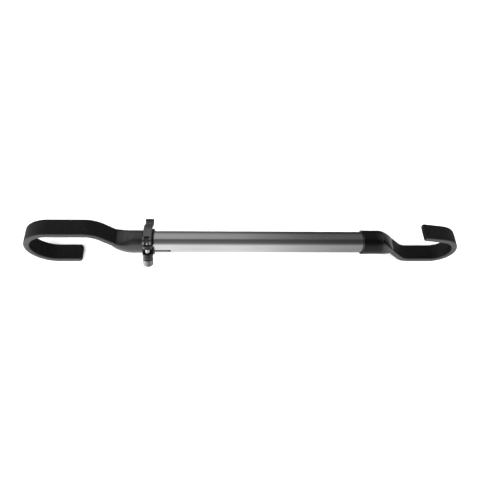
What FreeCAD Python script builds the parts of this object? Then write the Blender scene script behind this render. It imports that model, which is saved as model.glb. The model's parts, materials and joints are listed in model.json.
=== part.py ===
import FreeCAD
import Part
import Sketcher
import math
import os
import re

# Telescoping bar with a covered strap hook at each end and a quick-release collar.
# Frame: X along the bar, Z up, origin on the bar's axis at the middle of the bare outer tube.
# Both hooks lie in the XZ plane and the bar stands on one leg of each.

doc = FreeCAD.newDocument("extending_hook_bar")

# ---------------------------------------------------------------- driving dimensions (mm, degrees)

DIMENSIONS = [
    ("outer_od", 25.4, "outer tube diameter, one inch"),
    ("outer_wall", 1.2, "outer tube wall"),
    ("outer_left", 138.35, "origin to the outer tube's clamped end"),
    ("outer_right", 149.1, "origin to the outer tube's hook end"),
    ("slit_length", 30.35, "slit in the clamped end"),
    ("slit_width", 3.4, "slit width"),
    ("relief_radius", 2.1, "relief hole at the end of the slit"),
    ("inner_od", 22.2, "inner tube diameter, seven eighths of an inch"),
    ("inner_wall", 1.2, "inner tube wall"),
    ("inner_left", 150.4, "origin to the inner tube's hook end"),
    ("inner_right", 108.0, "origin to the inner tube's buried end"),
    ("plug_gap", 0.05, "radial gap between a plug and its tube"),
    ("tang_plug_length", 16.0, "slotted plug that holds a strap's tang"),
    ("rivet_radius", 2.5, "cross rivet"),
    ("rivet_setback", 8.0, "cross rivet to the tube's end"),
    ("end_plug_length", 10.0, "plug in the buried end of the inner tube"),
    ("spigot_radius", 5.0, "spigot that the guide bush turns on"),
    ("spigot_head_radius", 7.0, "head that keeps the bush on"),
    ("spigot_head_length", 2.0, "length of that head"),
    ("bush_length", 12.0, "guide bush length"),
    ("bush_gap", 0.05, "running gap round and inside the bush"),
    ("strap_width", 16.0, "flat steel strap"),
    ("strap_thick", 3.0, "flat steel strap"),
    ("tang_length", 16.0, "straight strap inside the tube"),
    ("cover_width", 21.2, "rubber cover over the strap"),
    ("cover_thick", 7.0, "rubber cover over the strap"),
    ("cover_corner", 2.4, "rounding of the cover's long edges"),
    ("cover_tip_round", 2.3, "rounding round the cover's closed end"),
    ("left_start", 151.4, "origin to the left strap's first bend"),
    ("left_depth", 29.65, "left attached leg above the axis"),
    ("left_slope", 45.0, "slope of the left strap's offset, degrees"),
    ("left_bend", 25.6, "radius of the left offset bends"),
    ("left_apex", 120.2, "first bend to the left hook's outermost centreline"),
    ("left_near_turn", 29.225, "left hook, bend radius next to the attached leg"),
    ("left_far_turn", 29.225, "left hook, bend radius next to the free leg"),
    ("left_flare", 0.0, "outward lean of the left free leg, degrees"),
    ("left_tip", 26.9, "straight end of the left free leg"),
    ("right_start", 150.1, "origin to the right strap's first bend"),
    ("right_depth", 28.8, "right attached leg below the axis"),
    ("right_slope", 45.0, "slope of the right strap's offset, degrees"),
    ("right_bend", 18.0, "radius of the right offset bends"),
    ("right_apex", 93.2, "first bend to the right hook's outermost centreline"),
    ("right_near_turn", 21.4, "right hook, bend radius next to the attached leg"),
    ("right_far_turn", 27.6, "right hook, bend radius next to the free leg"),
    ("right_flare", 10.3, "outward lean of the right free leg, degrees"),
    ("right_tip", 25.8, "straight end of the right free leg"),
    ("left_boot_radius", 13.5, "left end boot"),
    ("left_boot_length", 15.45, "left boot's round stretch"),
    ("left_boot_edge", 138.75, "origin to the left boot's rim"),
    ("left_nose", 1.0, "slope line covered by the left boot's nose"),
    ("right_boot_radius", 14.5, "right end boot"),
    ("right_boot_length", 23.0, "right boot's round stretch"),
    ("right_boot_edge", 125.3, "origin to the right boot's rim"),
    ("right_nose", 3.0, "slope line covered by the right boot's nose"),
    ("nose_lip", 0.8, "boot wall round the cover at the nose's end"),
    ("nose_side_arc", 50.0, "part of the round boot that becomes the nose's narrow side, degrees"),
    ("nose_corner_arc", 20.0, "part of the round boot that becomes one corner of the nose, degrees"),
    ("collar_edge", 138.35, "origin to the collar's left face"),
    ("collar_width", 12.6, "collar, along the bar"),
    ("collar_radius", 15.3, "collar ring, outside"),
    ("ear_tilt", 30.0, "ears above the horizontal, degrees"),
    ("ear_width", 12.4, "ears, along the bar"),
    ("ear_reach", 25.6, "axis to the ears' tips"),
    ("ear_thick", 3.4, "one ear"),
    ("ear_gap", 7.2, "gap between the ears"),
    ("bolt_radius", 2.5, "clamp bolt"),
    ("bolt_reach", 20.5, "tube axis to the bolt's axis"),
    ("bolt_below", 18.3, "bolt below the middle of the gap"),
    ("bolt_gap", 0.15, "radial gap in the ears and the washers"),
    ("cam_washer_radius", 5.2, "washer under the cam"),
    ("cam_washer_thick", 0.8, "washer under the cam"),
    ("cam_radius", 5.2, "lever's cam"),
    ("cam_offset", 0.4, "cam centre to its pivot"),
    ("cam_gap", 0.05, "cam to its washer, closed"),
    ("pivot_radius", 3.3, "cross pin that the lever turns on"),
    ("pin_grip", 1.5, "stud past the cross pin's middle"),
    ("pivot_gap", 0.05, "running gap round the cross pin"),
    ("lever_width", 10.0, "lever, along the bar"),
    ("lever_thick", 3.0, "lever blade"),
    ("lever_corner", 0.6, "rounding of the blade's long edges"),
    ("lever_slot", 5.4, "slot between the cam's two cheeks"),
    ("slot_back", 4.6, "pivot to the web behind the slot"),
    ("blade_radius", 19.4, "blade centreline round the tube's axis"),
    ("blade_start", 110.0, "blade's arc starts, degrees from the back"),
    ("blade_end", 55.0, "blade's arc ends, degrees from the back"),
    ("curl_radius", 4.2, "finger curl at the blade's tip"),
    ("curl_turn", 92.0, "finger curl, degrees"),
    ("curl_tip", 3.4, "straight tip past the curl"),
    ("flange_radius", 5.7, "washer under the nut, flange"),
    ("flange_thick", 3.0, "washer under the nut, flange"),
    ("neck_radius", 4.2, "washer under the nut, neck"),
    ("neck_thick", 1.2, "washer under the nut, neck"),
    ("nut_radius", 6.0, "adjusting nut"),
    ("nut_length", 8.4, "adjusting nut"),
    ("nut_dome", 1.6, "rounding of the nut's end"),
    ("nut_bore_depth", 7.4, "blind bore in the nut"),
    ("thread_gap", 0.05, "radial gap in the nut"),
]

sheet = doc.addObject("Spreadsheet::Sheet", "Dimensions")
for row, (alias, number, note) in enumerate(DIMENSIONS, start=1):
    sheet.set("A%d" % row, alias)
    sheet.set("B%d" % row, str(number))
    sheet.set("C%d" % row, note)
    sheet.setAlias("B%d" % row, alias)
doc.recompute()


ALIASES = re.compile(r"\b(%s)\b" % "|".join(entry[0] for entry in DIMENSIONS))


def expand(formula):
    """Write a formula's dimension names as references to the sheet."""
    return ALIASES.sub(r"Dimensions.\1", formula)


def value(formula):
    """The number a formula gives now."""
    result = sheet.evalExpression(expand(formula))
    return float(getattr(result, "Value", result))


# ---------------------------------------------------------------- bodies and sketches

def new_body(name, x="0", tilt=None, turned=False):
    """A body placed on the bar's axis; tilt leans it about X, turned points it the other way."""
    body = doc.addObject("PartDesign::Body", name)
    body.Label = name
    if turned:
        body.Placement.Rotation = FreeCAD.Rotation(FreeCAD.Vector(0, 1, 0), 180)
    if tilt:
        body.Placement.Rotation = FreeCAD.Rotation(FreeCAD.Vector(1, 0, 0), value(tilt))
        body.setExpression(".Placement.Rotation.Angle", expand(tilt))
    body.setExpression(".Placement.Base.x", expand(x))
    return body


def new_sketch(body, name, role, offset=None):
    """A sketch on one of the body's own origin planes, moved along the plane's normal."""
    sketch = body.newObject("Sketcher::SketchObject", name)
    plane = next(item for item in body.Origin.OriginFeatures if item.Role == role)
    sketch.AttachmentSupport = (plane, "")
    sketch.MapMode = "FlatFace"
    if offset:
        sketch.setExpression(".AttachmentOffset.Base.z", expand(offset))
    return sketch


def hold(sketch, kind, *where, formula):
    """A dimension in a sketch, bound to the sheet."""
    number = value(formula)
    if kind == "Angle":
        number = math.radians(number)
        formula = "(%s) * 1 deg" % formula
    index = sketch.addConstraint(Sketcher.Constraint(kind, *where, number))
    sketch.setExpression("Constraints[%d]" % index, expand(formula))


def fix(sketch, kind, *where):
    """A geometric constraint."""
    sketch.addConstraint(Sketcher.Constraint(kind, *where))


def circle(sketch, radius, x=None, y=None):
    """A circle at the sketch's origin, or at x and y."""
    centre = FreeCAD.Vector(value(x) if x else 0, value(y) if y else 0, 0)
    index = sketch.addGeometry(Part.Circle(centre, FreeCAD.Vector(0, 0, 1), value(radius)))
    hold(sketch, "Radius", index, formula=radius)
    if not x and not y:
        fix(sketch, "Coincident", index, 3, -1, 1)
        return
    if x:
        hold(sketch, "DistanceX", -1, 1, index, 3, formula=x)
    else:
        fix(sketch, "PointOnObject", index, 3, -2)
    if y:
        hold(sketch, "DistanceY", -1, 1, index, 3, formula=y)
    else:
        fix(sketch, "PointOnObject", index, 3, -1)


def rectangle(sketch, x_low, x_high, y_low, y_high):
    """A rectangle given by its four sides."""
    left, right, low, high = value(x_low), value(x_high), value(y_low), value(y_high)
    corners = [(left, low), (right, low), (right, high), (left, high)]
    points = [FreeCAD.Vector(x, y, 0) for x, y in corners]
    first = sketch.GeometryCount
    for number in range(4):
        sketch.addGeometry(Part.LineSegment(points[number], points[(number + 1) % 4]))
    for number in range(4):
        fix(sketch, "Coincident", first + number, 2, first + (number + 1) % 4, 1)
        fix(sketch, "Vertical" if number % 2 else "Horizontal", first + number)
    hold(sketch, "DistanceX", -1, 1, first, 1, formula=x_low)
    hold(sketch, "DistanceX", -1, 1, first, 2, formula=x_high)
    hold(sketch, "DistanceY", -1, 1, first, 1, formula=y_low)
    hold(sketch, "DistanceY", -1, 1, first + 2, 1, formula=y_high)


def centred_rectangle(sketch, width, height):
    """A rectangle round the sketch's origin."""
    rectangle(sketch, "-(%s) / 2" % width, "(%s) / 2" % width,
              "-(%s) / 2" % height, "(%s) / 2" % height)


def rounded_rectangle(sketch, width, height, radius):
    """A rectangle with round corners, round the sketch's origin."""
    half_x, half_y, corner = value(width) / 2, value(height) / 2, value(radius)
    centres = [(half_x - corner, corner - half_y), (half_x - corner, half_y - corner),
               (corner - half_x, half_y - corner), (corner - half_x, corner - half_y)]
    normal = FreeCAD.Vector(0, 0, 1)
    arcs = []
    for number, (x, y) in enumerate(centres):
        ring = Part.Circle(FreeCAD.Vector(x, y, 0), normal, corner)
        start = (number - 1) * math.pi / 2
        arcs.append(Part.ArcOfCircle(ring, start, start + math.pi / 2))
    for number in range(4):
        sketch.addGeometry(arcs[number])
        sketch.addGeometry(Part.LineSegment(arcs[number].EndPoint, arcs[(number + 1) % 4].StartPoint))
    for number in range(4):
        arc, line, following = 2 * number, 2 * number + 1, (2 * number + 2) % 8
        fix(sketch, "Tangent", arc, 2, line, 1)
        fix(sketch, "Tangent", line, 2, following, 1)
        if number:
            fix(sketch, "Equal", 0, arc)
    fix(sketch, "Horizontal", 3)
    fix(sketch, "Vertical", 1)
    fix(sketch, "Horizontal", 7)
    fix(sketch, "Vertical", 5)
    hold(sketch, "Radius", 0, formula=radius)
    hold(sketch, "DistanceX", 5, 1, 1, 1, formula=width)
    hold(sketch, "DistanceY", 7, 1, 3, 1, formula=height)
    fix(sketch, "Symmetric", 0, 3, 4, 3, -1, 1)


def segmented_circle(sketch, radius, side_arc, corner_arc):
    """A circle in eight arcs that answer, one for one, to a rounded rectangle's corners and sides."""
    over_arc = "180 - %s - 2 * %s" % (side_arc, corner_arc)
    spans = [corner_arc, side_arc, corner_arc, over_arc] * 2
    ring = Part.Circle(FreeCAD.Vector(0, 0, 0), FreeCAD.Vector(0, 0, 1), value(radius))
    angle = -math.radians(value(side_arc) / 2 + value(corner_arc))
    for span in spans:
        sketch.addGeometry(Part.ArcOfCircle(ring, angle, angle + math.radians(value(span))))
        angle += math.radians(value(span))
    last = len(spans) - 1
    for number, span in enumerate(spans):
        fix(sketch, "Coincident", number, 2, (number + 1) % len(spans), 1)
        if number < last:
            fix(sketch, "Coincident", number, 3, -1, 1)
            hold(sketch, "Angle", number, formula=span)
    fix(sketch, "Equal", 0, last)
    fix(sketch, "Vertical", 1, 1, 1, 2)
    hold(sketch, "Radius", 0, formula=radius)


def chain(sketch, start, steps):
    """A chain of lines and arcs, each tangent to the last.

    start is the first point and the heading of a first line (a first arc sets off along x);
    a step is ("line", length) or ("arc", radius, turn, side), with side 1 for a left turn
    and -1 for a right turn. Steps of no length are left out.
    """
    point = FreeCAD.Vector(value(start[0]), value(start[1]), 0)
    heading = math.radians(value(start[2]))
    previous = None
    for step in steps:
        along = FreeCAD.Vector(math.cos(heading), math.sin(heading), 0)
        if step[0] == "line":
            length = value(step[1])
            if length < 1e-6:
                continue
            index = sketch.addGeometry(Part.LineSegment(point, point + along * length))
            hold(sketch, "Distance", index, formula=step[1])
            near, far = 1, 2
            point = point + along * length
        else:
            radius, turn, side = value(step[1]), math.radians(value(step[2])), step[3]
            outward = FreeCAD.Vector(along.y, -along.x, 0) * side
            centre = point - outward * radius
            ring = Part.Circle(centre, FreeCAD.Vector(0, 0, 1), radius)
            begin = math.atan2(outward.y, outward.x)
            low, high = sorted((begin, begin + side * turn))
            index = sketch.addGeometry(Part.ArcOfCircle(ring, low, high))
            hold(sketch, "Radius", index, formula=step[1])
            hold(sketch, "Angle", index, formula=step[2])
            near, far = (1, 2) if side > 0 else (2, 1)
            heading += side * turn
            finish = FreeCAD.Vector(math.cos(begin + side * turn), math.sin(begin + side * turn), 0)
            point = centre + finish * radius
        if previous is None:
            hold(sketch, "DistanceX", -1, 1, index, near, formula=start[0])
            hold(sketch, "DistanceY", -1, 1, index, near, formula=start[1])
            if step[0] == "line":
                hold(sketch, "Angle", index, formula=start[2])
            else:
                fix(sketch, "Vertical", index, near, index, 3)
        else:
            fix(sketch, "Tangent", *previous, index, near)
        previous = (index, far)


# ---------------------------------------------------------------- features

def pad(body, sketch, length, both=False):
    """Extrude a sketch along its normal, or half each way."""
    feature = body.newObject("PartDesign::Pad", sketch.Name + "_pad")
    feature.Profile = sketch
    feature.Midplane = both
    feature.setExpression("Length", expand(length))
    doc.recompute()
    return feature


def cut(body, sketch, length=None, both=False, forward=False):
    """Cut a sketch out of a body, against its normal unless forward, and check that it removes metal."""
    volume = body.Shape.Volume
    feature = body.newObject("PartDesign::Pocket", sketch.Name + "_cut")
    feature.Profile = sketch
    feature.Midplane = both
    feature.Reversed = forward
    if length:
        feature.setExpression("Length", expand(length))
    else:
        feature.Type = "ThroughAll"
    doc.recompute()
    if body.Shape.Volume > volume - 0.01:
        raise RuntimeError("%s removes nothing" % feature.Name)
    return feature


def disc(body, name, role, radius, length, offset=None, both=False, x=None, y=None):
    """A round pad."""
    sketch = new_sketch(body, name, role, offset)
    circle(sketch, radius, x, y)
    return pad(body, sketch, length, both)


def hole(body, name, role, radius, length=None, offset=None, both=True, forward=False, x=None, y=None):
    """A round cut, right through unless it has a length."""
    sketch = new_sketch(body, name, role, offset)
    circle(sketch, radius, x, y)
    return cut(body, sketch, length, both, forward)


# ---------------------------------------------------------------- tubes

def outer_tube():
    body = new_body("outer_tube", "-outer_left")
    disc(body, "outer_wall_ring", "YZ_Plane", "outer_od / 2", "outer_left + outer_right")
    hole(body, "outer_bore", "YZ_Plane", "outer_od / 2 - outer_wall")
    slit = new_sketch(body, "slit_outline", "XZ_Plane")
    rectangle(slit, "-1", "slit_length", "-slit_width / 2", "slit_width / 2")
    cut(body, slit, "outer_od", forward=True)
    hole(body, "relief_outline", "XZ_Plane", "relief_radius", "outer_od", both=False, forward=True,
         x="slit_length")
    hole(body, "outer_rivet_hole", "XY_Plane", "rivet_radius", x="outer_left + outer_right - rivet_setback")


def inner_tube():
    body = new_body("inner_tube", "-inner_left")
    disc(body, "inner_wall_ring", "YZ_Plane", "inner_od / 2", "inner_left + inner_right")
    hole(body, "inner_bore", "YZ_Plane", "inner_od / 2 - inner_wall")
    hole(body, "inner_rivet_hole", "XY_Plane", "rivet_radius", x="rivet_setback")


def tang_plug(name, end, bore, turned):
    """Slotted plug in a tube's mouth, flush with the mouth at the body's origin."""
    body = new_body(name, end, turned=turned)
    disc(body, name + "_round", "YZ_Plane", "%s - plug_gap" % bore, "tang_plug_length",
         offset="-tang_plug_length")
    slot = new_sketch(body, name + "_slot", "YZ_Plane")
    centred_rectangle(slot, "strap_width", "strap_thick")
    cut(body, slot, both=True)
    hole(body, name + "_rivet_hole", "XY_Plane", "rivet_radius", x="-rivet_setback")


def cross_rivet(name, end, diameter, turned):
    """Rivet through the tube, the plug and the tang, flush with the tube."""
    body = new_body(name, end, turned=turned)
    disc(body, name + "_shank", "XY_Plane", "rivet_radius",
         "2 * sqrt(pow(%s / 2; 2) - pow(rivet_radius; 2))" % diameter, both=True, x="-rivet_setback")


def inner_end_plug():
    """Plug in the buried end of the inner tube, with the spigot that carries the guide bush."""
    body = new_body("inner_end_plug", "inner_right")
    disc(body, "end_plug_round", "YZ_Plane", "inner_od / 2 - inner_wall - plug_gap", "end_plug_length",
         offset="-end_plug_length")
    disc(body, "spigot_round", "YZ_Plane", "spigot_radius", "bush_length + 2 * bush_gap")
    disc(body, "spigot_head", "YZ_Plane", "spigot_head_radius", "spigot_head_length",
         offset="bush_length + 2 * bush_gap")


def guide_bush():
    """Plastic bush that centres the inner tube's buried end in the outer tube."""
    body = new_body("guide_bush", "inner_right + bush_gap")
    disc(body, "bush_round", "YZ_Plane", "outer_od / 2 - outer_wall - bush_gap", "bush_length")
    hole(body, "bush_bore", "YZ_Plane", "spigot_radius + bush_gap")


# ---------------------------------------------------------------- hooks
# Both hooks are drawn the same way: origin at the first bend, x outward, the attached leg below.
# The left one is turned half round about Y, which puts its attached leg above the bar.

def offset_length(side):
    """Straight slope between the two offset bends."""
    return ("({0}_depth - 2 * {0}_bend * (1 - cos({0}_slope))) / sin({0}_slope)").format(side)


def leg_length(side):
    """Straight attached leg, between the offset and the hook's turn."""
    slope = "2 * {0}_bend * sin({0}_slope) + (%s) * cos({0}_slope)" % offset_length(side)
    return ("{0}_apex - {0}_near_turn - (%s)" % slope).format(side)


def hook_route(side, short="0"):
    """Centreline of a hook from its first bend to its tip; short is how far it stops from the tip."""
    return [
        ("arc", side + "_bend", side + "_slope", -1),
        ("line", offset_length(side)),
        ("arc", side + "_bend", side + "_slope", 1),
        ("line", leg_length(side)),
        ("arc", side + "_near_turn", "90", 1),
        ("arc", side + "_far_turn", "90 - %s_flare" % side, 1),
        ("line", "%s_tip - %s" % (side, short)),
    ]


def sweep(body, name, section, spine, cutting=False):
    """Sweep a section along a spine sketch."""
    kind = "PartDesign::SubtractivePipe" if cutting else "PartDesign::AdditivePipe"
    feature = body.newObject(kind, name)
    feature.Profile = section
    feature.Spine = (spine, [])
    doc.recompute()
    return feature


def hook_strap(name, side, end, mouth, turned):
    """Flat strap bent into the hook, with its tang inside the tube."""
    body = new_body(name, end, turned=turned)
    spine = new_sketch(body, name + "_route", "XZ_Plane")
    chain(spine, ("-tang_length", "0", "0"),
          [("line", "tang_length")] + hook_route(side, "(cover_thick - strap_thick) / 2"))
    section = new_sketch(body, name + "_section", "YZ_Plane", "-tang_length")
    centred_rectangle(section, "strap_width", "strap_thick")
    sweep(body, name + "_sweep", section, spine)
    hole(body, name + "_rivet_hole", "XY_Plane", "rivet_radius", length="2 * strap_thick",
         x="%s - %s_start - rivet_setback" % (mouth, side))


def tip_point(side):
    """Centre of a cover's closed end, in the body's own frame."""
    flare = math.radians(value(side + "_flare"))
    far_turn, tip = value(side + "_far_turn"), value(side + "_tip")
    out = value(side + "_apex") - far_turn * (1 - math.sin(flare)) - tip * math.cos(flare)
    rise = value(side + "_near_turn") + far_turn * math.cos(flare) + tip * math.sin(flare)
    return FreeCAD.Vector(out, 0, rise - value(side + "_depth"))


def round_tip(body, name, side):
    """Round every edge of the flat end that faces the hook's mouth."""
    solid = body.Tip
    ends = [number for number, face in enumerate(solid.Shape.Faces)
            if (face.CenterOfMass - tip_point(side)).Length < value("cover_tip_round")]
    feature = body.newObject("PartDesign::Fillet", name)
    feature.Base = (solid, ["Face%d" % (ends[0] + 1)])
    feature.setExpression("Radius", expand("cover_tip_round"))
    doc.recompute()


def hook_cover(name, side, end, turned):
    """Rubber cover: closed over the strap's tip, open at the tube."""
    body = new_body(name, end, turned=turned)
    spine = new_sketch(body, name + "_route", "XZ_Plane")
    chain(spine, ("0", "0", "0"), hook_route(side))
    section = new_sketch(body, name + "_section", "YZ_Plane")
    rounded_rectangle(section, "cover_width", "cover_thick", "cover_corner")
    sweep(body, name + "_sweep", section, spine)
    round_tip(body, name + "_tip", side)
    inside = new_sketch(body, name + "_inside_route", "XZ_Plane")
    chain(inside, ("0", "0", "0"), hook_route(side, "(cover_thick - strap_thick) / 2"))
    hollow = new_sketch(body, name + "_inside", "YZ_Plane")
    centred_rectangle(hollow, "strap_width", "strap_thick")
    sweep(body, name + "_hollow", hollow, inside, cutting=True)


def end_boot(name, side, mouth, diameter, turned):
    """Moulded boot: round over the tube's mouth, with a nose that closes round the cover."""
    end = "-left_start" if turned else "right_start"
    body = new_body(name, end, turned=turned)
    edge = "{0}_boot_edge - {0}_start".format(side)
    length = side + "_boot_length"
    radius = side + "_boot_radius"
    disc(body, name + "_round", "YZ_Plane", radius, length, offset=edge)
    root = new_sketch(body, name + "_nose_root", "YZ_Plane", "%s + %s" % (edge, length))
    segmented_circle(root, radius, "nose_side_arc", "nose_corner_arc")
    lip = new_sketch(body, name + "_nose_lip", "YZ_Plane")
    lip.AttachmentOffset = FreeCAD.Placement(
        FreeCAD.Vector(0, 0, 0), FreeCAD.Rotation(FreeCAD.Vector(1, 0, 0), value(side + "_slope")))
    down = "-({0}_bend * (1 - cos({0}_slope)) + {0}_nose * sin({0}_slope))".format(side)
    out = "{0}_bend * sin({0}_slope) + {0}_nose * cos({0}_slope)".format(side)
    lip.setExpression(".AttachmentOffset.Base.y", expand(down))
    lip.setExpression(".AttachmentOffset.Base.z", expand(out))
    lip.setExpression(".AttachmentOffset.Rotation.Angle", expand(side + "_slope"))
    rounded_rectangle(lip, "cover_width + 2 * nose_lip", "cover_thick + 2 * nose_lip",
                      "cover_corner + nose_lip")
    nose = body.newObject("PartDesign::AdditiveLoft", name + "_nose")
    nose.Profile = root
    nose.Sections = [lip]
    doc.recompute()
    hole(body, name + "_bore", "YZ_Plane", diameter + " / 2", "%s - %s_boot_edge" % (mouth, side),
         offset=edge, both=False, forward=True)
    tang = new_sketch(body, name + "_tang_slot", "YZ_Plane")
    centred_rectangle(tang, "strap_width", "strap_thick")
    cut(body, tang, "%s_start - %s" % (side, mouth))
    spine = new_sketch(body, name + "_cover_route", "XZ_Plane")
    chain(spine, ("0", "0", "0"),
          [("arc", side + "_bend", side + "_slope", -1), ("line", "%s_nose + cover_thick" % side)])
    section = new_sketch(body, name + "_cover_section", "YZ_Plane")
    rounded_rectangle(section, "cover_width", "cover_thick", "cover_corner")
    sweep(body, name + "_cover_hollow", section, spine, cutting=True)


# ---------------------------------------------------------------- collar
# Drawn with the ears toward -Y and the lever above, then leaned back about the bar's axis.

COLLAR_X = "collar_width / 2 - collar_edge"
COLLAR_LEAN = "-ear_tilt"
EAR_FACE = "ear_gap / 2 + ear_thick"
CAM_FACE = "ear_gap / 2 + ear_thick + cam_washer_thick"
PIVOT_HEIGHT = CAM_FACE + " + cam_gap + cam_radius + cam_offset"


def collar_body(name):
    """A body at the middle of the collar's width, leaned with the ears."""
    return new_body(name, COLLAR_X, tilt=COLLAR_LEAN)


def clamp_ring():
    body = collar_body("clamp_ring")
    disc(body, "ring_round", "YZ_Plane", "collar_radius", "collar_width", both=True)
    ears = new_sketch(body, "ears_outline", "XY_Plane")
    rectangle(ears, "-ear_width / 2", "ear_width / 2", "ear_width / 2 - ear_reach", "-outer_od / 2")
    pad(body, ears, "2 * (%s)" % EAR_FACE, both=True)
    disc(body, "ears_end", "XY_Plane", "ear_width / 2", "2 * (%s)" % EAR_FACE, both=True,
         y="ear_width / 2 - ear_reach")
    hole(body, "ring_bore", "YZ_Plane", "outer_od / 2")
    gap = new_sketch(body, "gap_outline", "XY_Plane")
    rectangle(gap, "-collar_width", "collar_width", "-2 * ear_reach", "-outer_od / 4")
    cut(body, gap, "ear_gap", both=True)
    hole(body, "ear_holes", "XY_Plane", "bolt_radius + bolt_gap", y="-bolt_reach")


def clamp_bolt():
    """Stud set in the cross pin, through both ears, to the nut."""
    body = collar_body("clamp_bolt")
    disc(body, "stud_round", "XY_Plane", "bolt_radius",
         "bolt_below + %s + pin_grip" % PIVOT_HEIGHT, offset="-bolt_below", y="-bolt_reach")


def cam_pin():
    """Cross pin that the stud is set in and the lever turns on."""
    body = collar_body("cam_pin")
    disc(body, "pin_round", "YZ_Plane", "pivot_radius", "lever_width", both=True,
         x="-bolt_reach", y=PIVOT_HEIGHT)
    hole(body, "pin_socket", "XY_Plane", "bolt_radius", "pivot_radius + pin_grip",
         offset="%s + pin_grip" % PIVOT_HEIGHT, both=False, y="-bolt_reach")


def cam_washer():
    body = collar_body("cam_washer")
    disc(body, "cam_washer_round", "XY_Plane", "cam_washer_radius", "cam_washer_thick",
         offset=EAR_FACE, y="-bolt_reach")
    hole(body, "cam_washer_hole", "XY_Plane", "bolt_radius + bolt_gap", y="-bolt_reach")


def qr_lever():
    """Forked cam with a blade that lies round the collar and a curled finger tip."""
    body = collar_body("qr_lever")
    disc(body, "cam_round", "YZ_Plane", "cam_radius", "lever_width", both=True,
         x="-bolt_reach", y="%s - cam_offset" % PIVOT_HEIGHT)
    spine = new_sketch(body, "blade_route", "YZ_Plane")
    root = "(bolt_reach + blade_radius * cos(blade_start)) / sin(blade_start)"
    chain(spine, ("blade_radius * cos(blade_start) - (%s) * sin(blade_start)" % root,
                  "blade_radius * sin(blade_start) + (%s) * cos(blade_start)" % root,
                  "blade_start - 90"),
          [("line", root),
           ("arc", "blade_radius", "blade_start - blade_end", -1),
           ("arc", "curl_radius", "curl_turn", 1),
           ("line", "curl_tip")])
    section = new_sketch(body, "blade_section", "XZ_Plane")
    rise = "blade_radius * sin(blade_start) + (%s) * cos(blade_start)" % root
    section.setExpression(".AttachmentOffset.Base.y", expand(rise))
    section.setExpression(".AttachmentOffset.Base.z", expand("bolt_reach"))
    rounded_rectangle(section, "lever_width", "lever_thick", "lever_corner")
    sweep(body, "blade_sweep", section, spine)
    slot = new_sketch(body, "slot_outline", "YZ_Plane")
    rectangle(slot, "-bolt_reach - 3 * cam_radius", "slot_back - bolt_reach",
              "ear_gap / 2", "%s + 2 * cam_radius" % PIVOT_HEIGHT)
    cut(body, slot, "lever_slot", both=True)
    hole(body, "pivot_hole", "YZ_Plane", "pivot_radius + pivot_gap",
         x="-bolt_reach", y=PIVOT_HEIGHT)


def nut_washer():
    """Flanged washer that seats the nut on the lower ear."""
    body = collar_body("nut_washer")
    top = "-(%s)" % EAR_FACE
    disc(body, "flange_round", "XY_Plane", "flange_radius", "flange_thick",
         offset="%s - flange_thick" % top, y="-bolt_reach")
    disc(body, "neck_round", "XY_Plane", "neck_radius", "neck_thick + flange_thick",
         offset="%s - flange_thick - neck_thick" % top, y="-bolt_reach")
    hole(body, "nut_washer_hole", "XY_Plane", "bolt_radius + bolt_gap", y="-bolt_reach")


def adjusting_nut():
    """Blind round nut with a rounded end."""
    body = collar_body("adjusting_nut")
    seat = "-(%s) - flange_thick - neck_thick" % EAR_FACE
    disc(body, "nut_round", "XY_Plane", "nut_radius", "nut_length",
         offset="%s - nut_length" % seat, y="-bolt_reach")
    blank = body.Tip
    middle = blank.Shape.BoundBox.Center.z
    rims = ["Edge%d" % number for number, edge in enumerate(blank.Shape.Edges, start=1)
            if edge.BoundBox.ZMax < middle]
    dome = body.newObject("PartDesign::Fillet", "nut_dome_edge")
    dome.Base = (blank, rims)
    dome.setExpression("Radius", expand("nut_dome"))
    doc.recompute()
    hole(body, "nut_bore", "XY_Plane", "bolt_radius + thread_gap", "nut_bore_depth",
         offset=seat, both=False, y="-bolt_reach")


# ---------------------------------------------------------------- assembly

LEFT_MOUTH = "-inner_left"
RIGHT_MOUTH = "outer_right"

outer_tube()
tang_plug("right_tang_plug", RIGHT_MOUTH, "outer_od / 2 - outer_wall", turned=False)
cross_rivet("right_cross_rivet", RIGHT_MOUTH, "outer_od", turned=False)
hook_strap("right_hook_strap", "right", "right_start", "outer_right", turned=False)
hook_cover("right_hook_cover", "right", "right_start", turned=False)
end_boot("right_end_boot", "right", "outer_right", "outer_od", turned=False)
clamp_ring()
clamp_bolt()
cam_pin()
cam_washer()
qr_lever()
nut_washer()
adjusting_nut()
guide_bush()
inner_end_plug()
inner_tube()
tang_plug("left_tang_plug", LEFT_MOUTH, "inner_od / 2 - inner_wall", turned=True)
cross_rivet("left_cross_rivet", LEFT_MOUTH, "inner_od", turned=True)
hook_strap("left_hook_strap", "left", "-left_start", "inner_left", turned=True)
hook_cover("left_hook_cover", "left", "-left_start", turned=True)
end_boot("left_end_boot", "left", "inner_left", "inner_od", turned=True)

doc.recompute()

# ---------------------------------------------------------------- checks and files

for item in doc.Objects:
    if "Invalid" in item.State or "Error" in item.State:
        raise RuntimeError("%s failed: %s" % (item.Name, item.State))

bodies = [item for item in doc.Objects if item.TypeId == "PartDesign::Body"]
for body in bodies:
    if body.Shape.isNull() or not body.Shape.isValid() or len(body.Shape.Solids) != 1:
        raise RuntimeError("%s is not one valid solid" % body.Label)

os.makedirs("parts", exist_ok=True)
for body in bodies:
    body.Shape.exportStep("parts/%s.step" % body.Label)
    box = body.Shape.BoundBox
    print("%-18s %9.1f mm3  X %7.1f %7.1f  Y %6.1f %6.1f  Z %6.1f %6.1f" % (
        body.Label, body.Shape.Volume, box.XMin, box.XMax, box.YMin, box.YMax, box.ZMin, box.ZMax))
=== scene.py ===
import json
import math

import bmesh
import bpy
from mathutils import Matrix, Vector


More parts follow.
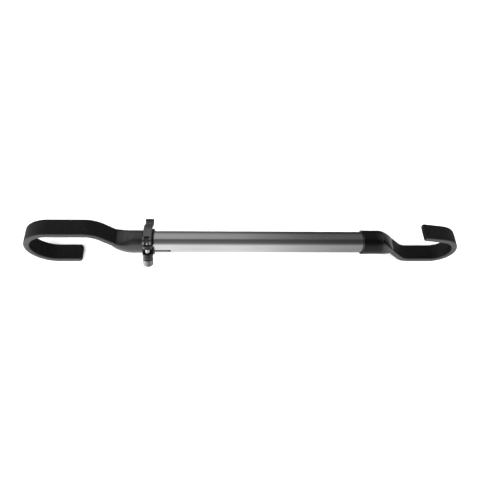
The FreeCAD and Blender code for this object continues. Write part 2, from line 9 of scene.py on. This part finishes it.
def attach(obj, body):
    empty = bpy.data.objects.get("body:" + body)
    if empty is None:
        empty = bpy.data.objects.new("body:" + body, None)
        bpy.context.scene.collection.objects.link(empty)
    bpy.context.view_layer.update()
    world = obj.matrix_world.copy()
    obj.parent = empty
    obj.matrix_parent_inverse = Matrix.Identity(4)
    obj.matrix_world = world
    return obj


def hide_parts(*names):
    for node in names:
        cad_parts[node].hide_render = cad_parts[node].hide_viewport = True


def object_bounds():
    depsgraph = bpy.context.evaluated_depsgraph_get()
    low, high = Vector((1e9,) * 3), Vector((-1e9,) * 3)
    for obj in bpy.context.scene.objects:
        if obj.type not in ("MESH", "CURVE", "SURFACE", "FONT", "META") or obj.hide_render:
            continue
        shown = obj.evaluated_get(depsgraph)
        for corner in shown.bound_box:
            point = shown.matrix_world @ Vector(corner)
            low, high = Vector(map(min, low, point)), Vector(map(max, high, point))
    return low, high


# A telescoping hook bar: satin steel tube, rubber-covered strap hooks, moulded boots and a
# quick-release collar that locks the length. Metres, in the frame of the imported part.

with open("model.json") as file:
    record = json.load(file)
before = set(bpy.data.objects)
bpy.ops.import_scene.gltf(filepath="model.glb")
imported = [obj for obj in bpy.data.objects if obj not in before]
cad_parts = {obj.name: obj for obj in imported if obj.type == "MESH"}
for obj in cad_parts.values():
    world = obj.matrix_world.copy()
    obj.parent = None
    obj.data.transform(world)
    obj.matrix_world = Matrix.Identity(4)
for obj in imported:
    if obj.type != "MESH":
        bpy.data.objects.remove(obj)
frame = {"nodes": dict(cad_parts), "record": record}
cad_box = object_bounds()
MM = 0.001

# ---------------------------------------------------------------- camera

CAMERA_ELEVATION = math.radians(60.712)
CAMERA_YAW = math.radians(4.139)
CAMERA_ROLL = 0.003
CAMERA_DISTANCE = 574.97 * MM
CAMERA_X = -65.17 * MM
LENS = 35.74
SENSOR = 36.0
VIEW_SHIFT = 0.0038
CLIP_NEAR = 0.01
CLIP_FAR = 30


def make_camera():
    """Look down at the bar from in front and a little to the left of its middle."""
    cam = bpy.data.cameras.new("camera")
    cam.lens = LENS
    cam.sensor_width = SENSOR
    cam.shift_y = VIEW_SHIFT
    cam.clip_start = CLIP_NEAR
    cam.clip_end = CLIP_FAR
    holder = bpy.data.objects.new("camera", cam)
    bpy.context.scene.collection.objects.link(holder)
    level = Vector((0, math.cos(CAMERA_ELEVATION), -math.sin(CAMERA_ELEVATION)))
    along = Vector((1, 0, 0))
    forward = level * math.cos(CAMERA_YAW) + along * math.sin(CAMERA_YAW)
    right = along * math.cos(CAMERA_YAW) - level * math.sin(CAMERA_YAW)
    up = right.cross(forward)
    turned_right = right * math.cos(CAMERA_ROLL) + up * math.sin(CAMERA_ROLL)
    turned_up = up * math.cos(CAMERA_ROLL) - right * math.sin(CAMERA_ROLL)
    basis = Matrix((turned_right, turned_up, -forward)).transposed().to_4x4()
    basis.translation = Vector((CAMERA_X, 0, 0)) - level * CAMERA_DISTANCE
    holder.matrix_world = basis
    bpy.context.scene.camera = holder


# ---------------------------------------------------------------- floor and light

FLOOR_HALF = 8.0
FLOOR_GAP = 0.2 * MM
FLOOR_GREY = 0.94
BOX_WIDTH = 1.4
BOX_HEIGHT = 1.0
KEY_PLACE = (-0.9, -1.2, 1.5)
KEY_POWER = 56
FILL_PLACE = (1.0, -0.5, 1.6)
FILL_POWER = 44
# Brightness of the studio round the bar's axis: degrees from the front horizon, over the top, and level.
STUDIO_ROUND = [
    (-180, 0.22), (-150, 0.3), (-110, 0.9), (-75, 1.7), (16, 1.75), (26, 1.45), (34, 0.62),
    (46, 0.34), (70, 0.2), (86, 0.24), (94, 0.76), (150, 0.76), (168, 0.4), (180, 0.22)]
# The same studio along the bar, in front of it and behind it: the direction's share along +X, and
# how much of the level is left.
FRONT_ALONG = [
    (-0.85, 3.0), (-0.62, 1.3), (-0.3, 1.0), (0.08, 1.0), (0.19, 0.55), (0.27, 0.36), (0.42, 0.3),
    (0.62, 0.65), (0.78, 1.1)]
BACK_ALONG = [
    (-0.85, 3.2), (-0.65, 1.0), (-0.42, 0.9), (-0.3, 1.6), (-0.18, 1.0), (0.04, 1.0), (0.19, 0.34),
    (0.27, 0.25), (0.42, 0.26), (0.62, 0.65), (0.78, 1.1)]
# Half the width, in the direction's share along Y, over which the front gives way to the back.
FRONT_TO_BACK = 0.15


def fill_ramp(ramp, stops, limit):
    """Set a colour ramp's stops from (position, grey level) pairs, positions from -limit to limit."""
    while len(ramp.elements) < len(stops):
        ramp.elements.new(0.5)
    for element, (place, level) in zip(ramp.elements, stops):
        element.position = (place + limit) / (2 * limit)
        element.color = (level, level, level, 1)


def make_world():
    """A studio sky whose brightness changes round the bar and along it, set for the tube."""
    world = bpy.data.worlds.new("studio")
    world.use_nodes = True
    nodes, links = world.node_tree.nodes, world.node_tree.links
    place = nodes.new("ShaderNodeTexCoord")
    split = nodes.new("ShaderNodeSeparateXYZ")
    links.new(place.outputs["Generated"], split.inputs["Vector"])
    front = nodes.new("ShaderNodeMath")
    front.operation = "MULTIPLY"
    front.inputs[1].default_value = -1
    links.new(split.outputs["Y"], front.inputs[0])
    turn = nodes.new("ShaderNodeMath")
    turn.operation = "ARCTAN2"
    links.new(split.outputs["Z"], turn.inputs[0])
    links.new(front.outputs["Value"], turn.inputs[1])
    shares = []
    for source, limit, stop_limit, stops in (
            (turn.outputs["Value"], math.pi, 180, STUDIO_ROUND),
            (split.outputs["X"], 1, 1, FRONT_ALONG), (split.outputs["X"], 1, 1, BACK_ALONG)):
        span = nodes.new("ShaderNodeMapRange")
        span.inputs["From Min"].default_value = -limit
        span.inputs["From Max"].default_value = limit
        links.new(source, span.inputs["Value"])
        ramp = nodes.new("ShaderNodeValToRGB")
        fill_ramp(ramp.color_ramp, stops, stop_limit)
        links.new(span.outputs["Result"], ramp.inputs["Fac"])
        shares.append(ramp.outputs["Color"])
    behind = nodes.new("ShaderNodeMapRange")
    behind.inputs["From Min"].default_value = -FRONT_TO_BACK
    behind.inputs["From Max"].default_value = FRONT_TO_BACK
    links.new(split.outputs["Y"], behind.inputs["Value"])
    along = nodes.new("ShaderNodeMix")
    along.data_type = "FLOAT"
    links.new(behind.outputs["Result"], along.inputs["Factor"])
    links.new(shares[1], along.inputs["A"])
    links.new(shares[2], along.inputs["B"])
    level = nodes.new("ShaderNodeVectorMath")
    level.operation = "MULTIPLY"
    links.new(shares[0], level.inputs[0])
    links.new(along.outputs["Result"], level.inputs[1])
    sky = nodes["Background"]
    links.new(level.outputs["Vector"], sky.inputs["Color"])
    sky.inputs["Strength"].default_value = 1.0
    bpy.context.scene.world = world


def soft_box(name, place, power):
    """A large area light that points at the bar."""
    light = bpy.data.lights.new(name, "AREA")
    light.shape = "RECTANGLE"
    light.size = BOX_WIDTH
    light.size_y = BOX_HEIGHT
    light.energy = power
    holder = bpy.data.objects.new(name, light)
    bpy.context.scene.collection.objects.link(holder)
    holder.location = place
    holder.rotation_mode = "QUATERNION"
    holder.rotation_quaternion = (-Vector(place)).to_track_quat("-Z", "Y")
    holder.visible_glossy = False


def make_floor():
    """A plain pale floor just under the part."""
    level = cad_box[0].z - FLOOR_GAP
    mesh = bpy.data.meshes.new("floor")
    corners = [(-FLOOR_HALF, -FLOOR_HALF, level), (FLOOR_HALF, -FLOOR_HALF, level),
               (FLOOR_HALF, FLOOR_HALF, level), (-FLOOR_HALF, FLOOR_HALF, level)]
    mesh.from_pydata(corners, [], [(0, 1, 2, 3)])
    floor = bpy.data.objects.new("floor", mesh)
    bpy.context.scene.collection.objects.link(floor)
    floor.visible_glossy = False
    material = bpy.data.materials.new("floor_pale")
    material.use_nodes = True
    shader = material.node_tree.nodes["Principled BSDF"]
    shader.inputs["Base Color"].default_value = (FLOOR_GREY, FLOOR_GREY, FLOOR_GREY, 1)
    shader.inputs["Roughness"].default_value = 0.9
    shader.inputs["Specular IOR Level"].default_value = 0.1
    mesh.materials.append(material)


# ---------------------------------------------------------------- materials

# The middle part of a noise's range, which is spread over the whole of a tint or a roughness.
NOISE_LOW = 0.3
NOISE_HIGH = 0.7
# How squarely a face has to look along Y before the covers' painted sheen starts, and where it is full: a
# paler base colour that stands in for the light on the covers' sides.
SHEEN_SIDE_START = 0.35
SHEEN_SIDE_FULL = 0.9
PAINTED_SHEEN_TONE = 0.07


def grey(value):
    """A grey colour."""
    return (value, value, value)


def new_material(name, color, roughness, metallic=0.0, specular=0.5):
    """A principled material."""
    material = bpy.data.materials.new(name)
    material.use_nodes = True
    shader = material.node_tree.nodes["Principled BSDF"]
    shader.inputs["Base Color"].default_value = (*color, 1)
    shader.inputs["Roughness"].default_value = roughness
    shader.inputs["Metallic"].default_value = metallic
    shader.inputs["Specular IOR Level"].default_value = specular
    return material


def noise(material, scale, detail=4.0, stretch=(1, 1, 1)):
    """Noise over the object's own coordinates; scale is in features a metre."""
    nodes, links = material.node_tree.nodes, material.node_tree.links
    place = nodes.new("ShaderNodeTexCoord")
    spread = nodes.new("ShaderNodeMapping")
    spread.inputs["Scale"].default_value = stretch
    texture = nodes.new("ShaderNodeTexNoise")
    texture.inputs["Scale"].default_value = scale
    texture.inputs["Detail"].default_value = detail
    links.new(place.outputs["Object"], spread.inputs["Vector"])
    links.new(spread.outputs["Vector"], texture.inputs["Vector"])
    return texture.outputs["Fac"]


def cells(material, scale):
    """Distance to the cells of a pebble pattern; scale is in cells a metre."""
    nodes, links = material.node_tree.nodes, material.node_tree.links
    place = nodes.new("ShaderNodeTexCoord")
    texture = nodes.new("ShaderNodeTexVoronoi")
    texture.inputs["Scale"].default_value = scale
    links.new(place.outputs["Object"], texture.inputs["Vector"])
    return texture.outputs["Distance"]


def drive(material, source, socket, low, high):
    """Run a texture between two values into a shader socket."""
    nodes, links = material.node_tree.nodes, material.node_tree.links
    span = nodes.new("ShaderNodeMapRange")
    span.inputs["From Min"].default_value = NOISE_LOW
    span.inputs["From Max"].default_value = NOISE_HIGH
    span.inputs["To Min"].default_value = low
    span.inputs["To Max"].default_value = high
    links.new(source, span.inputs["Value"])
    links.new(span.outputs["Result"], nodes["Principled BSDF"].inputs[socket])


def tint(material, source, dark, light):
    """Vary the base colour between two colours."""
    nodes, links = material.node_tree.nodes, material.node_tree.links
    ramp = nodes.new("ShaderNodeValToRGB")
    ramp.color_ramp.elements[0].position = NOISE_LOW
    ramp.color_ramp.elements[0].color = (*dark, 1)
    ramp.color_ramp.elements[1].position = NOISE_HIGH
    ramp.color_ramp.elements[1].color = (*light, 1)
    links.new(source, ramp.inputs["Fac"])
    links.new(ramp.outputs["Color"], nodes["Principled BSDF"].inputs["Base Color"])


def bump(material, source, depth, strength=1.0, under=None):
    """Raise the surface by a texture, over another bump if there is one; depth in metres."""
    nodes, links = material.node_tree.nodes, material.node_tree.links
    relief = nodes.new("ShaderNodeBump")
    relief.inputs["Strength"].default_value = strength
    relief.inputs["Distance"].default_value = depth
    links.new(source, relief.inputs["Height"])
    if under:
        links.new(under, relief.inputs["Normal"])
    links.new(relief.outputs["Normal"], nodes["Principled BSDF"].inputs["Normal"])
    return relief.outputs["Normal"]


def satin_tube(name, level, roughness):
    """Drawn and satin-plated steel: fine draw lines along the bar, a faint cloud of tone."""
    material = new_material(name, grey(level), roughness, metallic=1.0)
    tint(material, noise(material, 60, 3.0, (0.3, 1, 1)), grey(level * 0.94), grey(level * 1.05))
    lines = noise(material, 900, 3.0, (0.02, 1, 1))
    drive(material, lines, "Roughness", roughness * 0.85, roughness * 1.2)
    bump(material, lines, 0.00002, 0.2)
    return material


def painted_side_sheen(material, level):
    """A painted sheen: a paler, mottled base colour on the faces that look along Y, front and back alike,
    standing in for the light on the sides.
    """
    nodes, links = material.node_tree.nodes, material.node_tree.links
    base = nodes["Principled BSDF"].inputs["Base Color"]
    clean = base.links[0].from_socket
    place = nodes.new("ShaderNodeTexCoord")
    split = nodes.new("ShaderNodeSeparateXYZ")
    links.new(place.outputs["Normal"], split.inputs["Vector"])
    share = nodes.new("ShaderNodeMath")
    share.operation = "ABSOLUTE"
    links.new(split.outputs["Y"], share.inputs[0])
    span = nodes.new("ShaderNodeMapRange")
    span.inputs["From Min"].default_value = SHEEN_SIDE_START
    span.inputs["From Max"].default_value = SHEEN_SIDE_FULL
    span.inputs["To Max"].default_value = level
    links.new(share.outputs["Value"], span.inputs["Value"])
    mottled_sheen = nodes.new("ShaderNodeMath")
    mottled_sheen.operation = "MULTIPLY_ADD"
    links.new(span.outputs["Result"], mottled_sheen.inputs[0])
    links.new(noise(material, 700, 5.0), mottled_sheen.inputs[1])
    links.new(clean, mottled_sheen.inputs[2])
    links.new(mottled_sheen.outputs["Value"], base)


def rubber(name, level, roughness, grain, depth, specular):
    """Moulded rubber with a pebbled grain over faint flow marks."""
    material = new_material(name, grey(level), roughness, specular=specular)
    tint(material, noise(material, 350, 5.0), grey(level * 0.6), grey(level * 1.5))
    flow = bump(material, noise(material, 120, 3.0), depth * 2, 0.5)
    bump(material, cells(material, grain), depth, 0.7, flow)
    drive(material, noise(material, 600, 4.0), "Roughness", roughness * 0.85, min(1.0, roughness * 1.15))
    return material


def smooth_vinyl(name, level, roughness, specular):
    """Dipped vinyl: nearly smooth, with soft ripples and a few rub marks."""
    material = new_material(name, grey(level), roughness, specular=specular)
    tint(material, noise(material, 180, 4.0), grey(level * 0.8), grey(level * 1.25))
    ripple = bump(material, noise(material, 90, 2.0), 0.00015, 0.3)
    bump(material, noise(material, 1800, 3.0), 0.00002, 0.3, ripple)
    rubs = noise(material, 500, 5.0, (1, 0.2, 0.2))
    drive(material, rubs, "Roughness", roughness * 0.8, roughness * 1.3)
    return material


def metal(name, level, roughness, metallic=1.0, specular=0.5):
    """Small turned and pressed steel parts."""
    material = new_material(name, grey(level), roughness, metallic=metallic, specular=specular)
    tint(material, noise(material, 400, 4.0), grey(level * 0.85), grey(level * 1.12))
    fine = noise(material, 2500, 3.0)
    drive(material, fine, "Roughness", roughness * 0.8, roughness * 1.25)
    bump(material, fine, 0.00003, 0.3)
    return material


MATERIALS = {
    "tube_metal": satin_tube("tube_metal", 0.40, 0.17),
    "inner_metal": metal("inner_metal", 0.012, 0.35, 0.0),
    "plug_plastic": rubber("plug_plastic", 0.02, 0.5, 2000, 0.00003, 0.4),
    "fastener_metal": metal("fastener_metal", 0.5, 0.35),
    "strap_steel": metal("strap_steel", 0.3, 0.5),
    "cover_rubber": rubber("cover_rubber", 0.0024, 0.55, 1300, 0.00012, 0.14),
    "boot_satin": smooth_vinyl("boot_satin", 0.003, 0.3, 0.7),
    "boot_gloss": smooth_vinyl("boot_gloss", 0.0004, 0.2, 0.4),
    "collar_black": metal("collar_black", 0.004, 0.3, 0.0, 0.26),
    "bolt_metal": metal("bolt_metal", 0.33, 0.22),
    "washer_metal": metal("washer_metal", 0.012, 0.35, 0.2, 0.35),
    "nut_metal": metal("nut_metal", 0.15, 0.38),
    "lever_grey": metal("lever_grey", 0.13, 0.24),
}

# Painted sheen: the covers' sides get a paler base colour in place of the light they catch.
painted_side_sheen(MATERIALS["cover_rubber"], PAINTED_SHEEN_TONE)


def paint_cad_nodes():
    """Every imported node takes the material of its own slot."""
    slots = {row["node"]: row["material_slot"] for row in frame["record"]["subparts"]}
    for name, node in frame["nodes"].items():
        node.data.materials.clear()
        node.data.materials.append(MATERIALS[slots[name]])


# ---------------------------------------------------------------- hook covers

COVER_WIDTH = 21.2 * MM
COVER_THICK = 7.0 * MM
COVER_CORNER = 2.0 * MM
COVER_CROWN = 0.12 * MM
TIP_EDGE_ROUND = 2.2 * MM
# Each hook's strap line, from the bend by the boot to the free tip: how far the first bend is from
# the origin, the offset's depth, slope and bend radius, the reach, the two quarter turns, the free
# leg's outward lean and its straight end.
LEFT_HOOK = dict(start=151.4, depth=29.65, slope=45, bend=25.6, apex=120.2,
                 near_turn=29.225, far_turn=29.225, flare=0, tip=26.9, tip_round=3.6)
RIGHT_HOOK = dict(start=150.1, depth=28.8, slope=45, bend=18.0, apex=93.2,
                  near_turn=21.4, far_turn=27.6, flare=10.3, tip=25.8, tip_round=1.6)
ARC_STEP = math.radians(3)
LINE_STEP = 3 * MM
TIP_RINGS = 8
CORNER_STEPS = 6
# Where the crown's points lie across a broad face, as shares of its half width.
CROWN_SHARES = (0.6, 0.2, -0.2, -0.6)
# A corner's radius stays a little under half the section, so that no face vanishes.
CORNER_LIMIT = 0.98


def hook_steps(hook):
    """Arcs (radius, turn, side) and lines (length,) that the strap's line follows."""
    slope = math.radians(hook["slope"])
    fall = 2 * hook["bend"] * (1 - math.cos(slope))
    offset = (hook["depth"] - fall) / math.sin(slope)
    run = 2 * hook["bend"] * math.sin(slope) + offset * math.cos(slope)
    leg = hook["apex"] - hook["near_turn"] - run
    quarter = math.radians(90)
    return [(hook["bend"], slope, -1), (offset,), (hook["bend"], slope, 1), (leg,),
            (hook["near_turn"], quarter, 1),
            (hook["far_turn"], quarter - math.radians(hook["flare"]), 1), (hook["tip"],)]


def hook_line(hook):
    """Stations (distance, x, z, heading) along the strap's line, heading 0 being outward."""
    x, z, heading, distance = 0.0, 0.0, 0.0, 0.0
    stations = [(distance, x, z, heading)]
    for step in hook_steps(hook):
        straight = len(step) == 1
        length = step[0] * MM if straight else step[0] * MM * step[1]
        pieces = math.ceil(length / LINE_STEP) if straight else math.ceil(step[1] / ARC_STEP)
        bend = 0.0 if straight else step[2] * step[1] / pieces
        part = length / pieces
        chord = part if straight else 2 * step[0] * MM * math.sin(abs(bend) / 2)
        for _ in range(pieces):
            x += chord * math.cos(heading + bend / 2)
            z += chord * math.sin(heading + bend / 2)
            heading += bend
            distance += part
            stations.append((distance, x, z, heading))
    return stations


def section_outline(half_width, half_thick, corner):
    """Rounded rectangle with slightly crowned broad faces, as (across, out) pairs."""
    outline = []
    corner = min(corner, half_thick * CORNER_LIMIT, half_width * CORNER_LIMIT)
    for quadrant in range(4):
        side = 1 if quadrant in (0, 3) else -1
        face = 1 if quadrant in (0, 1) else -1
        for step in range(CORNER_STEPS + 1):
            angle = math.radians(90) * (quadrant + step / CORNER_STEPS)
            across = side * (half_width - corner) + corner * math.cos(angle)
            out = face * (half_thick - corner) + corner * math.sin(angle)
            outline.append((across, out))
        if quadrant in (0, 2):
            for share in CROWN_SHARES:
                across = side * share * (half_width - corner)
                crown = COVER_CROWN * (1 - share * share)
                outline.append((across, face * (half_thick + crown)))
    return outline


def tip_inset(from_end, radius):
    """How far a rounded end has drawn in, at a distance from the end."""
    if from_end >= radius:
        return 0.0
    return radius - math.sqrt(max(0.0, radius ** 2 - (radius - from_end) ** 2))


def fix_normals(mesh):
    """Turn every face outward."""
    work = bmesh.new()
    work.from_mesh(mesh)
    bmesh.ops.recalc_face_normals(work, faces=work.faces)
    work.to_mesh(mesh)
    work.free()


def add_piece(name, vertices, faces, node, body, slot):
    """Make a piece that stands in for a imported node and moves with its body."""
    mesh = bpy.data.meshes.new(name)
    mesh.from_pydata(vertices, [], faces)
    piece = bpy.data.objects.new(name, mesh)
    bpy.context.scene.collection.objects.link(piece)
    fix_normals(mesh)
    mesh.materials.append(MATERIALS[slot])
    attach(piece, body)
    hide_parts(node)
    return mesh


def cover_stations(hook):
    """The hook's stations up to the tip's rounding, then closer ones to its end."""
    stations = hook_line(hook)
    total, last_x, last_z, heading = stations[-1]
    plan_round = hook["tip_round"] * MM
    kept = [station for station in stations if total - station[0] > plan_round]
    for step in range(TIP_RINGS + 1):
        left = plan_round * (1 - math.sin(math.radians(90) * step / TIP_RINGS))
        kept.append((total - left, last_x - left * math.cos(heading),
                     last_z - left * math.sin(heading), heading))
    return kept


def build_cover(name, hook, node, body, turned):
    """A rubber sleeve swept along the hook, with a rounded closed tip."""
    stations = cover_stations(hook)
    total = stations[-1][0]
    side = -1 if turned else 1
    vertices, faces = [], []
    count = len(section_outline(COVER_WIDTH / 2, COVER_THICK / 2, COVER_CORNER))
    for distance, x, z, heading in stations:
        from_end = total - distance
        half_width = COVER_WIDTH / 2 - tip_inset(from_end, hook["tip_round"] * MM)
        half_thick = COVER_THICK / 2 - tip_inset(from_end, TIP_EDGE_ROUND)
        for across, out in section_outline(half_width, half_thick, COVER_CORNER):
            px = x - out * math.sin(heading)
            pz = z + out * math.cos(heading)
            vertices.append((side * (hook["start"] * MM + px), across, side * pz))
    rings = len(stations)
    for ring in range(rings - 1):
        for k in range(count):
            a, b = ring * count + k, ring * count + (k + 1) % count
            faces.append((a, b, b + count, a + count))
    faces.append(tuple(range(count)))
    faces.append(tuple(reversed(range((rings - 1) * count, rings * count))))
    mesh = add_piece(name, vertices, faces, node, body, "cover_rubber")
    for polygon in mesh.polygons:
        polygon.use_smooth = len(polygon.vertices) == 4


# ---------------------------------------------------------------- boots

NOSE_SIDE_ARC = 50
NOSE_CORNER_ARC = 20
NOSE_LIP = 0.4
NOSE_RINGS = 14
NOSE_CORNER_STEPS = 6
NOSE_OVER_STEPS = 14
NOSE_SIDE_STEPS = 8
# The rim: how far its edge is chamfered, and where its flare has eased and ended.
RIM_CHAMFER = 0.3
FLARE_EASED = 2.5
FLARE_EASED_SHARE = 0.6
FLARE_ENDS = 5.5
BORE_INSET = 0.1
SHARP_ANGLE = math.radians(40)
# A boot: its rim, round stretch and radius, where its nose ends and how that end leans, how the nose
# closes on the side toward the strap's slope, away from it and along its path, the bore and the depth
# it runs to, where the strap's bend starts, and how far and how deep the rim flares.
LEFT_BOOT = dict(rim=138.75, length=11.5, radius=13.5, out=171.2, down=9.2, lean=45,
                 toward=1.45, away=3.0, path=1.9, bore=11.1, mouth=150.4, start=151.4, flare=0.0, lip=0.9)
RIGHT_BOOT = dict(rim=125.3, length=23.0, radius=14.45, out=164.6, down=7.2, lean=45,
                  toward=2.0, away=0.95, path=1.3, bore=12.7, mouth=149.1, start=150.1, flare=0.25, lip=2.0)


def nose_points():
    """Matching points of a circle and a rounded rectangle.

    Each is (angle, corner, angle round that corner, next corner or None, share of the way to it).
    """
    points = []
    over_arc = 180 - NOSE_SIDE_ARC - 2 * NOSE_CORNER_ARC
    angle = NOSE_SIDE_ARC / 2
    for corner in range(4):
        for step in range(NOSE_CORNER_STEPS):
            share = step / NOSE_CORNER_STEPS
            points.append((angle + NOSE_CORNER_ARC * share, corner, 90 * (corner + share), None, 0))
        angle += NOSE_CORNER_ARC
        span = over_arc if corner in (0, 2) else NOSE_SIDE_ARC
        count = NOSE_OVER_STEPS if corner in (0, 2) else NOSE_SIDE_STEPS
        for step in range(count):
            share = step / count
            points.append((angle + span * share, corner, 90 * (corner + 1), (corner + 1) % 4, share))
        angle += span
    return points


def corner_point(corner, turn, half_width, half_thick, radius):
    """A point on one corner of a rounded rectangle."""
    side = 1 if corner in (0, 3) else -1
    face = 1 if corner in (0, 1) else -1
    across = side * (half_width - radius) + radius * math.cos(math.radians(turn))
    out = face * (half_thick - radius) + radius * math.sin(math.radians(turn))
    return Vector((across, out))


def nose_section(round_radius, toward, away, half_width, half_thick, corner_radius):
    """A section between a circle (share 0) and a rounded rectangle (share 1), as (across, out).

    toward and away are the shares on the sides toward the strap's slope and away from it.
    """
    section = []
    for angle, corner, turn, following, share in nose_points():
        place = math.radians(angle)
        on_circle = Vector((math.cos(place), math.sin(place))) * round_radius
        on_box = corner_point(corner, turn, half_width, half_thick, corner_radius)
        if following is not None:
            target = corner_point(following, turn, half_width, half_thick, corner_radius)
            on_box = on_box.lerp(target, share)
        lift = (1 + math.sin(place)) / 2
        section.append(on_circle.lerp(on_box, toward + (away - toward) * lift))
    return section


def placed_ring(section, x, z, slope, side):
    """A section set up square to a line that slopes down, in the part's frame."""
    ring = []
    for across, out in section:
        px = x + out * math.sin(slope)
        pz = z + out * math.cos(slope)
        ring.append((side * px * MM, across * MM, side * pz * MM))
    return ring


def build_boot(name, boot, node, body, slot, turned):
    """A moulded boot: a round stretch that swells smoothly into a nose round the cover."""
    lean = math.radians(boot["lean"])
    radius, bore, rim = boot["radius"], boot["bore"], boot["rim"]
    root = rim + boot["length"]
    half_width, half_thick = COVER_WIDTH / MM / 2, COVER_THICK / MM / 2
    corner = COVER_CORNER / MM
    side = -1 if turned else 1
    box = (half_width + NOSE_LIP, half_thick + NOSE_LIP, corner + NOSE_LIP)
    inner_box = (half_width - BORE_INSET, half_thick - BORE_INSET, corner)
    rings = []
    flare = boot["flare"]
    for place, swell in ((0.0, flare - RIM_CHAMFER), (RIM_CHAMFER, flare),
                         (FLARE_EASED, flare * FLARE_EASED_SHARE), (FLARE_ENDS, 0.0),
                         (boot["length"] * 0.6, 0.0)):
        rings.append(placed_ring(nose_section(radius + swell, 0, 0, *box), rim + place, 0, 0, side))
    for step in range(NOSE_RINGS + 1):
        share = step / NOSE_RINGS
        section = nose_section(radius, share ** boot["toward"], share ** boot["away"], *box)
        rings.append(placed_ring(section, root + (boot["out"] - root) * share,
                                 -boot["down"] * share ** boot["path"], lean * share, side))
    rings.append(placed_ring(nose_section(bore, 1, 1, *inner_box), boot["out"], -boot["down"], lean, side))
    rings.append(placed_ring(nose_section(bore, 1, 1, *inner_box), boot["start"], 0, 0, side))
    rings.append(placed_ring(nose_section(bore, 0, 0, *inner_box), boot["mouth"], 0, 0, side))
    rings.append(placed_ring(nose_section(bore, 0, 0, *inner_box), rim + boot["lip"], 0, 0, side))
    count = len(rings[0])
    vertices = [point for ring in rings for point in ring]
    faces = []
    for ring in range(len(rings)):
        following = (ring + 1) % len(rings)
        for k in range(count):
            after = (k + 1) % count
            faces.append((ring * count + k, ring * count + after, following * count + after,
                          following * count + k))
    mesh = add_piece(name, vertices, faces, node, body, slot)
    for polygon in mesh.polygons:
        polygon.use_smooth = True
    mesh.set_sharp_from_angle(angle=SHARP_ANGLE)


# ---------------------------------------------------------------- the scene

make_camera()
make_world()
make_floor()
soft_box("key", KEY_PLACE, KEY_POWER)
soft_box("fill", FILL_PLACE, FILL_POWER)
bpy.context.scene.view_settings.view_transform = "Standard"
paint_cad_nodes()
build_cover("left_cover_skin", LEFT_HOOK, "left_hook_cover", "inner_assembly", True)
build_cover("right_cover_skin", RIGHT_HOOK, "right_hook_cover", "outer_assembly", False)
build_boot("left_boot_skin", LEFT_BOOT, "left_end_boot", "inner_assembly", "boot_satin", True)
build_boot("right_boot_skin", RIGHT_BOOT, "right_end_boot", "outer_assembly", "boot_gloss", False)
